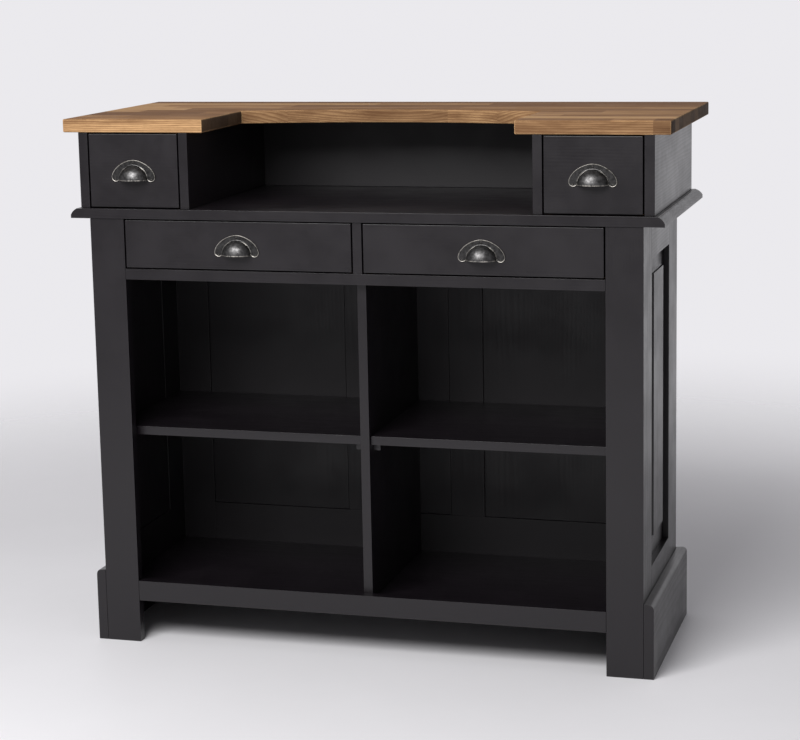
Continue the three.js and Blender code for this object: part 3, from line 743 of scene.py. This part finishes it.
def add_cup(bm, pull, projection, wear_and_sheen):
    """Hollow quarter dome, open below, with a rolled lip and a bead round its foot."""
    around, outward = CUP_STEPS_AROUND, CUP_STEPS_OUTWARD
    radii = Vector((pull.cup_width / 2, projection - pull.lip / 2, pull.cup_height))
    mouth = Vector((0.0, 0.0, pull.cup_rise))

    def dome(size, column, row):
        turn = math.pi * column / around
        lift = 0.5 * math.pi * row / outward
        reach = math.cos(lift)
        across = size.x * math.cos(turn) * reach
        up = size.z * math.sin(turn) * reach
        return mouth + Vector((across, -size.y * math.sin(lift), up))

    shells = []
    for size in (radii, radii - Vector((pull.cup_wall,) * 3)):
        columns = [[bm.verts.new(dome(size, c, r)) for r in range(outward)] for c in range(around + 1)]
        tip = bm.verts.new(dome(size, 0, outward))
        for c in range(around):
            for r in range(outward - 1):
                quad = (columns[c][r], columns[c + 1][r], columns[c + 1][r + 1], columns[c][r + 1])
                bm.faces.new(quad)
            bm.faces.new((columns[c][-1], columns[c + 1][-1], tip))
        shells.append((columns, tip))
    (outer, outer_tip), (inner, inner_tip) = shells
    for c in range(around):
        bm.faces.new((outer[c][0], inner[c][0], inner[c + 1][0], outer[c + 1][0]))
    for c in (0, around):
        outer_edge = [*outer[c], outer_tip]
        inner_edge = [*inner[c], inner_tip]
        for r in range(outward):
            bm.faces.new((outer_edge[r], outer_edge[r + 1], inner_edge[r + 1], inner_edge[r]))
    # The cup is made lighter than the flange, and its tip lighter still: a painted highlight.
    for vertex in [v for columns, _ in shells for column in columns for v in column]:
        vertex[wear_and_sheen] = CUP_SHEEN
    for vertex in (outer_tip, inner_tip):
        vertex[wear_and_sheen] = CUP_TIP_SHEEN

    foot_radii = (radii.x + pull.bead, radii.z + pull.bead)
    foot = arc((0.0, pull.cup_rise), foot_radii, 0.0, math.pi, ARCH_STEPS)
    foot_path = [Vector((point.x, -pull.flange, point.y)) for point in foot]
    # The bead and the lip are made bright: partly wear, partly painted highlight.
    sweep(bm, foot_path, Vector((0.0, 1.0, 0.0)), pull.bead, wear_and_sheen, BEAD_WEAR_AND_SHEEN)
    lip_radii = (radii.x - pull.lip / 2, -radii.y + pull.lip / 2)
    edge = arc((0.0, 0.0), lip_radii, 0.0, math.pi, ARCH_STEPS)
    lip_path = [Vector((point.x, point.y, pull.cup_rise + pull.lip / 2)) for point in edge]
    sweep(bm, lip_path, Vector((0.0, 0.0, 1.0)), pull.lip, wear_and_sheen, LIP_WEAR_AND_SHEEN)


def pull_spot(drawer):
    """Middle of a pull's lower edge, at the back of its flange, and the pull's size."""
    low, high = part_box(f"{drawer}_pull")
    return Vector(((low.x + high.x) / 2, high.y, low.z)), high - low


def lathe(bm, profile, steps):
    """A turned solid round +Z from points of radius and height, closed at both ends."""
    rows = []
    for radius, height in profile:
        turns = [2 * math.pi * step / steps for step in range(steps)]
        rows.append([bm.verts.new((radius * math.cos(t), radius * math.sin(t), height)) for t in turns])
    for first, second in zip(rows, rows[1:]):
        for index in range(steps):
            following = (index + 1) % steps
            bm.faces.new((first[index], first[following], second[following], second[index]))
    bm.faces.new(list(reversed(rows[0])))
    bm.faces.new(rows[-1])


def screw_head(pull):
    """Domed and slotted screw head round +Z, standing on z = 0."""
    bm = bmesh.new()
    radius, height = pull.screw_radius, pull.screw_height
    profile = [
        (radius, -height / 2), (radius, 0.3 * height), (0.93 * radius, 0.55 * height),
        (0.72 * radius, 0.82 * height), (0.42 * radius, 0.96 * height), (0.12 * radius, height),
    ]
    lathe(bm, profile, SCREW_STEPS)
    half, draft, floor = pull.screw_slot / 2, pull.screw_slot / 12, 0.35 * height
    for place in (-half - draft, -half, half, half + draft):
        everything = [*bm.verts, *bm.edges, *bm.faces]
        bmesh.ops.bisect_plane(
            bm, geom=everything, plane_co=(place, 0, 0), plane_no=(1, 0, 0), dist=CUT_TOLERANCE
        )
    for vertex in bm.verts:
        if abs(vertex.co.x) < half + draft / 2:
            vertex.co.z = min(vertex.co.z, floor)
    return bm


def add_copy(bm, source, matrix):
    """Adds a moved copy of one bmesh to another."""
    mesh = bpy.data.meshes.new("copy")
    source.to_mesh(mesh)
    mesh.transform(matrix)
    bm.from_mesh(mesh)
    bpy.data.meshes.remove(mesh)


def stave_bounds(low, high, width):
    """Edges of the staves from the worktop's front to its back."""
    count = max(1, round((high.y - low.y) / width))
    return [low.y + (high.y - low.y) * index / count for index in range(count + 1)]


def board_ends(rng, low, high, worktop):
    """Places of the butt joints along one stave."""
    ends = []
    place = low.x + rng.uniform(0.3, 1.0) * worktop.shortest
    while place < high.x - 0.3 * worktop.shortest:
        ends.append(place)
        place += rng.uniform(worktop.shortest, worktop.longest)
    return ends


def cut_across(bm, faces, place, normal):
    """Cuts faces along a plane without moving them."""
    edges = {edge for face in faces for edge in face.edges}
    verts = {vertex for face in faces for vertex in face.verts}
    geometry = [*faces, *edges, *verts]
    bmesh.ops.bisect_plane(bm, geom=geometry, plane_co=place, plane_no=normal, dist=CUT_TOLERANCE)


def worktop_mesh(worktop):
    """The worktop's own shape, cut into staves and boards without gaps, and the boards' tones and piths."""
    rng = random.Random(worktop.seed)
    low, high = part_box("worktop")
    bm = bmesh.new()
    bm.from_mesh(frame["nodes"]["worktop"].data)
    bmesh.ops.remove_doubles(bm, verts=bm.verts, dist=WELD)
    bmesh.ops.dissolve_limit(bm, angle_limit=FLAT_ANGLE, verts=bm.verts, edges=bm.edges)
    sharp = [edge for edge in bm.edges if edge.calc_face_angle(0.0) > SHARP_ANGLE]
    bmesh.ops.bevel(bm, geom=sharp, offset=worktop.easing, segments=2, profile=0.5, affect="EDGES")

    bounds = stave_bounds(low, high, worktop.stave_width)
    for place in bounds[1:-1]:
        cut_across(bm, list(bm.faces), (0, place, 0), (0, 1, 0))
    tone_layer = bm.faces.layers.float.new("tone")
    pith_layer = bm.faces.layers.float_vector.new("pith")
    for index, (near, far) in enumerate(zip(bounds, bounds[1:])):
        ends = FRONT_JOINTS if index == 0 else board_ends(rng, low, high, worktop)
        tones = FRONT_TONES if index == 0 else [rng.random() for _ in range(len(ends) + 1)]
        for place in ends:
            stave = [face for face in bm.faces if near < face.calc_center_median().y < far]
            cut_across(bm, stave, (place, 0, 0), (1, 0, 0))
        piths = []
        for _ in tones:
            along, across = rng.uniform(-2.0, 2.0), rng.uniform(near - 0.05, far + 0.05)
            piths.append(Vector((along, across, low.z - rng.uniform(0.01, 0.10))))
        for face in bm.faces:
            middle = face.calc_center_median()
            if near < middle.y < far:
                board = sum(middle.x > place for place in ends)
                face[tone_layer] = tones[board]
                face[pith_layer] = piths[board]
    return bm


class BARCOUNTER_OT_finish_cabinet(bpy.types.Operator):
    """Round the edges of the painted boards and paint them"""

    bl_idname = "bar_counter.finish_cabinet"
    bl_label = "Finish Cabinet"

    def execute(self, context):
        paint = context.scene.bar_counter.paint
        carcass = frame["record"]["behaviour"]["bodies"][CARCASS]
        boards = [node for node in carcass if node != "worktop"]
        for node in [*boards, *(f"{drawer}_front" for drawer in DRAWERS)]:
            piece = frame["nodes"][node]
            give_finish(piece, painted_wood(paint, longest_axis(node)))
            ease_edges(piece, paint.arris)
        return {"FINISHED"}


class BARCOUNTER_OT_lay_worktop(bpy.types.Operator):
    """Glue the worktop up from oiled staves"""

    bl_idname = "bar_counter.lay_worktop"
    bl_label = "Lay Worktop"

    def execute(self, context):
        worktop = context.scene.bar_counter.worktop
        piece = new_piece("worktop_staves", worktop_mesh(worktop), oiled_wood(worktop), CARCASS)
        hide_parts("worktop")
        return {"FINISHED"}


class BARCOUNTER_OT_finish_drawers(bpy.types.Operator):
    """Sand the drawer boxes"""

    bl_idname = "bar_counter.finish_drawers"
    bl_label = "Finish Drawer Boxes"

    def execute(self, context):
        settings = context.scene.bar_counter.drawer
        for node in [f"{drawer}_{board}" for drawer in DRAWERS for board in BOX_BOARDS]:
            piece = frame["nodes"][node]
            give_finish(piece, bare_wood(settings, longest_axis(node)))
            ease_edges(piece, settings.arris)
        return {"FINISHED"}


class BARCOUNTER_OT_cast_pulls(bpy.types.Operator):
    """Cast a cup pull for each drawer"""

    bl_idname = "bar_counter.cast_pulls"
    bl_label = "Cast Pulls"

    def execute(self, context):
        pull = context.scene.bar_counter.pull
        metal = cast_pewter(pull)
        for drawer in DRAWERS:
            spot, size = pull_spot(drawer)
            bm = bmesh.new()
            wear_and_sheen = bm.verts.layers.float.new("wear_and_sheen")
            add_flange(bm, pull, size.x, size.z, wear_and_sheen)
            add_cup(bm, pull, size.y, wear_and_sheen)
            bmesh.ops.recalc_face_normals(bm, faces=bm.faces)
            bmesh.ops.translate(bm, verts=bm.verts, vec=spot)
            piece = new_piece(f"{drawer}_cup_pull", bm, metal, drawer)
            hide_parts(f"{drawer}_pull")
        return {"FINISHED"}


class BARCOUNTER_OT_drive_screws(bpy.types.Operator):
    """Drive three slotted screws through each pull"""

    bl_idname = "bar_counter.drive_screws"
    bl_label = "Drive Pull Screws"

    def execute(self, context):
        pull = context.scene.bar_counter.pull
        steel = plated_steel("blackened_steel", pull.steel, pull.screw_roughness)
        rng = random.Random(SCREW_SEED)
        head = screw_head(pull)
        outwards = Matrix.Rotation(math.pi / 2, 4, "X")
        for drawer in DRAWERS:
            spot, size = pull_spot(drawer)
            cup_edge = pull.cup_width / 2 + 2 * pull.bead
            cup_top = pull.cup_rise + pull.cup_height + 2 * pull.bead
            side = (cup_edge + size.x / 2 - pull.rim_width) / 2
            top = (cup_top + size.z - pull.rim_width) / 2
            bm = bmesh.new()
            for across, up in ((-side, pull.cup_rise), (0.0, top), (side, pull.cup_rise)):
                place = spot + Vector((across, -pull.flange, up))
                turned = Matrix.Rotation(rng.uniform(0.0, math.pi), 4, "Z")
                add_copy(bm, head, Matrix.Translation(place) @ outwards @ turned)
            new_piece(f"{drawer}_pull_screws", bm, steel, drawer)
        head.free()
        return {"FINISHED"}


class BARCOUNTER_OT_set_shelf_pins(bpy.types.Operator):
    """Set the pins that carry the outer ends of the shelves"""

    bl_idname = "bar_counter.set_shelf_pins"
    bl_label = "Set Shelf Pins"

    def execute(self, context):
        pin = context.scene.bar_counter.pin
        steel = plated_steel("zinc_plated_steel", pin.steel, pin.roughness)
        in_wall = [(pin.radius * 0.8, -pin.depth), (pin.radius, -pin.depth * 0.9), (pin.radius, 0.0)]
        collar = [
            (pin.collar, 0.0), (pin.collar, pin.collar_edge), (pin.collar * 0.9, pin.collar_shoulder),
            (pin.radius, pin.collar_height),
        ]
        under_shelf = [(pin.radius, pin.reach * 0.9), (pin.radius * 0.75, pin.reach)]
        solid = bmesh.new()
        lathe(solid, [*in_wall, *collar, *under_shelf], PIN_STEPS)
        for hand, sign in (("left", -1), ("right", 1)):
            low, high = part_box(f"shelf_{hand}")
            wall = (low.x, high.x)[sign > 0]
            inwards = Matrix.Rotation(-sign * math.pi / 2, 4, "Y")
            bm = bmesh.new()
            for depth in (low.y + pin.end_inset, high.y - pin.end_inset):
                place = Vector((wall, depth, low.z - pin.radius))
                add_copy(bm, solid, Matrix.Translation(place) @ inwards)
            new_piece(f"shelf_pins_{hand}", bm, steel, CARCASS)
        solid.free()
        return {"FINISHED"}


class BARCOUNTER_OT_set_stage(bpy.types.Operator):
    """Lay the pale floor, hang the soft box and place the camera"""

    bl_idname = "bar_counter.set_stage"
    bl_label = "Set Stage"

    def execute(self, context):
        scene = context.scene
        stage = scene.bar_counter.stage
        scene.view_settings.view_transform = "Standard"
        self.lay_floor(scene, stage)
        self.light_room(scene, stage)
        self.place_camera(scene, stage)
        return {"FINISHED"}

    def lay_floor(self, scene, stage):
        bm = bmesh.new()
        bmesh.ops.create_circle(bm, cap_ends=True, segments=FLOOR_STEPS, radius=stage.floor_radius)
        mesh = bpy.data.meshes.new("floor")
        bm.to_mesh(mesh)
        bm.free()
        floor = bpy.data.objects.new("floor", mesh)
        scene.collection.objects.link(floor)
        give_finish(floor, pale_floor(stage))

    def light_room(self, scene, stage):
        world = bpy.data.worlds.new("studio")
        world.use_nodes = True
        world.node_tree.nodes.clear()
        bench = Bench(world.node_tree)
        heading = bench.add("ShaderNodeTexCoord").outputs["Generated"]
        behind = bench.fade(bench.part(heading, "Y"), 0.1, 0.7)
        path = bench.add("ShaderNodeLightPath").outputs
        mirrored = bench.math("MULTIPLY", path["Is Glossy Ray"], behind)
        seen = bench.math("MAXIMUM", path["Is Camera Ray"], mirrored)
        seen = bench.math("MAXIMUM", seen, path["Is Transmission Ray"])
        strength = bench.fade(seen, 0.0, 1.0, stage.sky, 1.0)
        feeds = {"Color": (*stage.backdrop, 1.0), "Strength": strength}
        background = bench.add("ShaderNodeBackground", feeds)
        bench.add("ShaderNodeOutputWorld", {"Surface": background.outputs[0]})
        scene.world = world
        key = bpy.data.lights.new("key", "AREA")
        key.energy = stage.key
        key.shape = "RECTANGLE"
        key.size = stage.key_width
        key.size_y = stage.key_height
        lamp = bpy.data.objects.new("key", key)
        away = Vector(stage.key_place) - Vector(stage.key_target)
        aim = away.to_track_quat("Z", "Y").to_matrix().to_4x4()
        lamp.matrix_world = Matrix.Translation(stage.key_place) @ aim
        lamp.visible_camera = False
        scene.collection.objects.link(lamp)

    def place_camera(self, scene, stage):
        forward = Vector((
            -math.sin(stage.turn) * math.cos(stage.tilt),
            math.cos(stage.turn) * math.cos(stage.tilt),
            -math.sin(stage.tilt),
        ))
        level = Vector((math.cos(stage.turn), math.sin(stage.turn), 0.0))
        upright = level.cross(forward)
        right = math.cos(stage.roll) * level + math.sin(stage.roll) * upright
        up = math.cos(stage.roll) * upright - math.sin(stage.roll) * level
        lens = bpy.data.cameras.new("camera")
        lens.sensor_width = SENSOR_WIDTH
        lens.lens = stage.lens
        lens.shift_y = stage.shift
        camera = bpy.data.objects.new("camera", lens)
        axes = Matrix((right, up, -forward)).transposed().to_4x4()
        camera.matrix_world = Matrix.Translation(stage.eye) @ axes
        scene.collection.objects.link(camera)
        scene.camera = camera


class BARCOUNTER_PT_sidebar(bpy.types.Panel):
    """Steps and settings of the bar counter"""

    bl_idname = "BARCOUNTER_PT_sidebar"
    bl_label = "Bar Counter"
    bl_space_type = "VIEW_3D"
    bl_region_type = "UI"
    bl_category = "Bar Counter"

    def draw(self, context):
        for step in STEPS:
            self.layout.operator(step.bl_idname)
        settings = context.scene.bar_counter
        for part in ("paint", "worktop", "drawer", "pull", "pin", "stage"):
            box = self.layout.box()
            box.label(text=part.title())
            group = getattr(settings, part)
            for name in group.__annotations__:
                box.prop(group, name)


STEPS = (
    BARCOUNTER_OT_finish_cabinet,
    BARCOUNTER_OT_lay_worktop,
    BARCOUNTER_OT_finish_drawers,
    BARCOUNTER_OT_cast_pulls,
    BARCOUNTER_OT_drive_screws,
    BARCOUNTER_OT_set_shelf_pins,
    BARCOUNTER_OT_set_stage,
)
GROUPS = (
    PaintSettings, WorktopSettings, DrawerSettings, PullSettings, PinSettings, StageSettings, CounterSettings,
)
CLASSES = (*GROUPS, *STEPS, BARCOUNTER_PT_sidebar)


def register():
    for item in CLASSES:
        bpy.utils.register_class(item)
    bpy.types.Scene.bar_counter = bpy.props.PointerProperty(type=CounterSettings)


def unregister():
    del bpy.types.Scene.bar_counter
    for item in reversed(CLASSES):
        bpy.utils.unregister_class(item)


def main():
    register()
    bpy.ops.bar_counter.finish_cabinet()
    bpy.ops.bar_counter.lay_worktop()
    bpy.ops.bar_counter.finish_drawers()
    bpy.ops.bar_counter.cast_pulls()
    bpy.ops.bar_counter.drive_screws()
    bpy.ops.bar_counter.set_shelf_pins()
    bpy.ops.bar_counter.set_stage()


if __name__ == "__main__":
    main()
